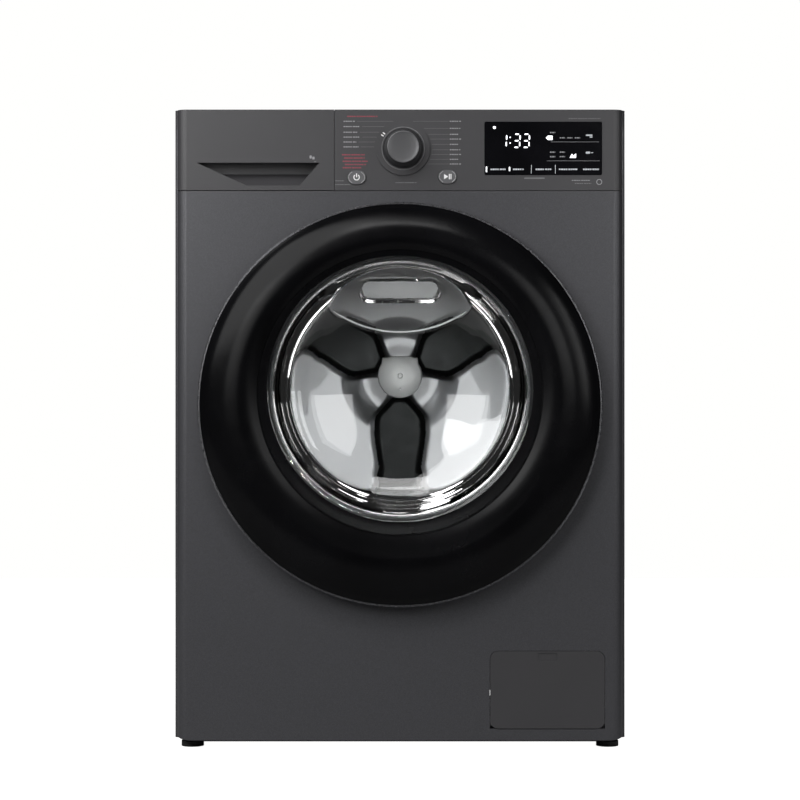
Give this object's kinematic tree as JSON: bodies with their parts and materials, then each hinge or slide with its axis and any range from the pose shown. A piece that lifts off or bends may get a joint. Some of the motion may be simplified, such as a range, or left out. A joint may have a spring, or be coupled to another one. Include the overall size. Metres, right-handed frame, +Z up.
{
  "type": "front load washing machine",
  "caption": "Free-standing front loading washing machine with a round glazed door, sprung tub, spinning drum, detergent drawer, programme knob, service flap and screw feet.",
  "frame": {"origin": "floor level, middle of the footprint including the door", "axes": "+Z up, -Y towards the user, +X to the right"},
  "size_m": [0.6, 0.61, 0.85],
  "materials": {
    "body_paint": "fine metallic grey enamel",
    "cover_steel": "galvanised sheet",
    "zinc_steel": "zinc plated",
    "worktop": "satin laminate",
    "fascia": "satin, fine texture",
    "knob_plastic": "satin dark grey",
    "button_plastic": "satin",
    "display_glass": "gloss black",
    "circuit_board": "solder mask",
    "white_plastic": "moulded",
    "black_hose": "matte",
    "grey_hose": "moulded",
    "hinge_steel": "plated",
    "lock_plastic": "moulded",
    "bellows_rubber": "satin moulded",
    "spring_steel": "oiled wire",
    "screws": "zinc plated",
    "plug_plastic": "moulded",
    "tub_plastic": "glass filled, moulded",
    "concrete": "cast",
    "copper_winding": "enamelled windings on a steel core",
    "stainless": "bright stainless",
    "cast_aluminium": "cast",
    "lifter": "bright stainless skin",
    "hub_plastic": "light grey",
    "rotor_steel": "zinc plated pressing",
    "door_black": "piano black",
    "trim_chrome": "bright",
    "frame_plastic": "moulded",
    "bowl_glass": "clear pressed glass",
    "siphon_blue": "moulded",
    "filter_plastic": "moulded",
    "foot_rubber": "matte"
  },
  "bodies": {
    "cabinet": {"cabinet_shell": "body_paint", "back_cover": "cover_steel", "base_frame": "zinc_steel", "top_frame": "zinc_steel", "top_panel": "worktop", "front_panel": "body_paint", "control_panel": "fascia", "display_window": "display_glass", "display_board": "circuit_board", "main_control_box": "white_plastic", "dispenser_housing": "white_plastic", "inlet_valve": "white_plastic", "valve_hoses": "black_hose", "hinge_bracket": "hinge_steel", "door_lock": "lock_plastic", "gasket": "bellows_rubber", "suspension_springs": "spring_steel", "damper_tubes": "lock_plastic", "pump_body": "white_plastic", "sump_hose": "black_hose", "drain_hose": "grey_hose", "fill_hose": "black_hose", "pressure_sensor": "white_plastic", "mains_gland": "black_hose", "cabinet_screws": "screws", "transit_plugs": "plug_plastic"},
    "tub": {"gasket_clamp": "hinge_steel", "tub_front": "tub_plastic", "tub_rear": "tub_plastic", "counterweights": "concrete", "damper_rods": "hinge_steel", "bearings": "screws", "shaft_seal": "black_hose", "stator": "copper_winding", "heater": "hinge_steel"},
    "drum": {"drum_shell": "stainless", "drum_back": "stainless", "spider_and_shaft": "cast_aluminium", "drum_lifters": "lifter", "hub_cap": "hub_plastic", "rotor": "rotor_steel", "rotor_nut": "screws"},
    "door": {"door_ring": "door_black", "door_trim": "trim_chrome", "door_inner_frame": "frame_plastic", "door_glass": "bowl_glass"},
    "latch": {"door_hook": "hinge_steel"},
    "knob": {"knob": "knob_plastic"},
    "power_button": {"power_button": "button_plastic"},
    "start_button": {"start_button": "button_plastic"},
    "drawer": {"drawer_front": "fascia", "drawer_tray": "white_plastic"},
    "siphon": {"siphon_cover": "siphon_blue"},
    "service_flap": {"service_flap": "fascia"},
    "pump_filter": {"pump_filter": "filter_plastic"},
    "pump_impeller": {"pump_impeller": "lock_plastic"},
    "foot_front_left": {"foot_front_left": "foot_rubber"},
    "foot_front_right": {"foot_front_right": "foot_rubber"},
    "foot_rear_left": {"foot_rear_left": "foot_rubber"},
    "foot_rear_right": {"foot_rear_right": "foot_rubber"}
  },
  "joints": [
    {"name": "tub_suspension", "type": "slide", "parent": "cabinet", "child": "tub", "axis": [0, 0, 1], "range_m": [-0.012, 0.012], "stiffness_N_per_m": 16000, "springref_m": 0.01499, "deforming": ["suspension_springs", "fill_hose", "sump_hose", "gasket"]},
    {"name": "drum_spin", "type": "hinge", "parent": "tub", "child": "drum", "pos_m": [0, 0, 0.5], "axis": [0, 1, 0], "continuous": true},
    {"name": "door_swing", "type": "hinge", "parent": "cabinet", "child": "door", "pos_m": [-0.244, -0.2845, 0.47], "axis": [0, 0, -1], "range_deg": [0, 130]},
    {"name": "latch_hook", "type": "hinge", "parent": "door", "child": "latch", "pos_m": [0.209, -0.272, 0.4786], "axis": [0, 0, 1], "range_deg": [-6, 6], "stiffness_Nm_per_rad": 0.2},
    {"name": "knob_turn", "type": "hinge", "parent": "cabinet", "child": "knob", "pos_m": [0.0042, -0.26, 0.7978], "axis": [0, 1, 0], "continuous": true},
    {"name": "power_press", "type": "slide", "parent": "cabinet", "child": "power_button", "axis": [0, 1, 0], "range_m": [0, 0.0012], "stiffness_N_per_m": 800},
    {"name": "start_press", "type": "slide", "parent": "cabinet", "child": "start_button", "axis": [0, 1, 0], "range_m": [0, 0.0012], "stiffness_N_per_m": 800},
    {"name": "drawer_slide", "type": "slide", "parent": "cabinet", "child": "drawer", "axis": [0, -1, 0], "range_m": [0, 0.2]},
    {"name": "siphon_lift", "type": "slide", "parent": "drawer", "child": "siphon", "axis": [0, 0, 1], "range_m": [0, 0.011]},
    {"name": "flap_fold", "type": "hinge", "parent": "cabinet", "child": "service_flap", "pos_m": [0.196, -0.256, 0.0328], "axis": [1, 0, 0], "range_deg": [0, 95]},
    {"name": "filter_twist", "type": "hinge", "parent": "cabinet", "child": "pump_filter", "pos_m": [0.196, -0.23, 0.085], "axis": [0, 1, 0], "range_deg": [-120, 0]},
    {"name": "impeller_spin", "type": "hinge", "parent": "cabinet", "child": "pump_impeller", "pos_m": [0.196, -0.15, 0.085], "axis": [0, 1, 0], "continuous": true},
    {"name": "foot_front_left_height", "type": "slide", "parent": "cabinet", "child": "foot_front_left", "axis": [0, 0, 1], "range_m": [-0.015, 0]},
    {"name": "foot_front_right_height", "type": "slide", "parent": "cabinet", "child": "foot_front_right", "axis": [0, 0, 1], "range_m": [-0.015, 0]},
    {"name": "foot_rear_left_height", "type": "slide", "parent": "cabinet", "child": "foot_rear_left", "axis": [0, 0, 1], "range_m": [-0.015, 0]},
    {"name": "foot_rear_right_height", "type": "slide", "parent": "cabinet", "child": "foot_rear_right", "axis": [0, 0, 1], "range_m": [-0.015, 0]}
  ]
}
